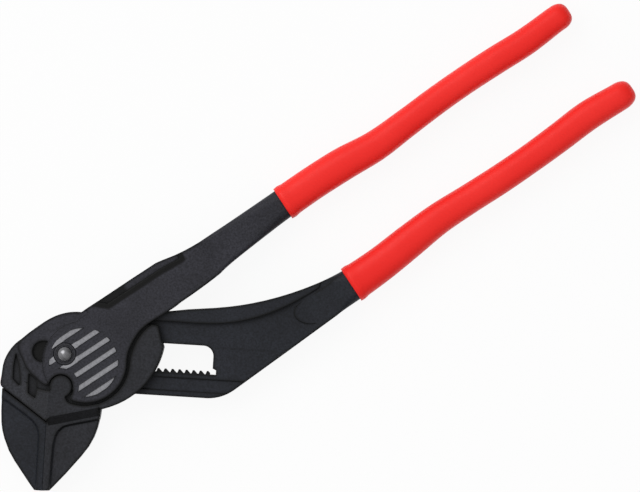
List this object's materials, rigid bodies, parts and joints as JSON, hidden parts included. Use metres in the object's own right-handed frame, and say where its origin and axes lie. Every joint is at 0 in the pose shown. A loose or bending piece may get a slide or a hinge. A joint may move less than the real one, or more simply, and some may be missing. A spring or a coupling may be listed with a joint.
{
  "type": "parallel-jaw water pump pliers",
  "caption": "Adjustable pliers with a sliding smooth jaw, a toothed slot with a push-button lock, a forked lever and red dipped handle grips.",
  "frame": {"origin": "on the pivot axis, in the plane that the tool lies on, at the back face of the pivot", "axes": "+X is the way the moving jaw opens along the slot, +Y is across the slot towards the lever, +Z is along the pivot towards the push button"},
  "size_m": [0.2136, 0.1792, 0.0173],
  "materials": {
    "black_steel": "black phosphated forged steel, matt with a fine grain",
    "red_grip": "smooth dipped PVC, satin",
    "bright_steel": "bright turned steel",
    "spring_steel": "drawn spring wire"
  },
  "bodies": {
    "fixed_leg": {"fixed_jaw_handle": "black_steel", "fixed_handle_grip": "red_grip"},
    "pivot": {"pivot_bolt": "black_steel", "front_collar": "black_steel", "back_plug": "black_steel", "button_spring": "spring_steel"},
    "lever": {"lever_handle": "black_steel", "lever_handle_grip": "red_grip"},
    "jaw": {"moving_jaw": "black_steel"},
    "button": {"push_button": "bright_steel", "lock_key": "bright_steel", "key_pin": "bright_steel"}
  },
  "joints": [
    {"name": "adjust", "type": "slide", "parent": "fixed_leg", "child": "pivot", "axis": [1, 0, 0], "range_m": [0, 0.02928]},
    {"name": "lever_swing", "type": "hinge", "parent": "pivot", "child": "lever", "pos_m": [0, 0, 0.0077], "axis": [0, 0, 1], "range_deg": [0, 18]},
    {"name": "jaw_travel", "type": "slide", "parent": "pivot", "child": "jaw", "axis": [1, 0, 0], "range_m": [0, 0.00352]},
    {"name": "button_press", "type": "slide", "parent": "pivot", "child": "button", "axis": [0, 0, -1], "range_m": [0, 0.0025], "stiffness_N_per_m": 600, "springref_m": -0.002, "deforming": ["button_spring"]}
  ],
  "couplings": [
    {"joint": "jaw_travel", "follows": "lever_swing", "m_per_rad": 0.011194}
  ]
}
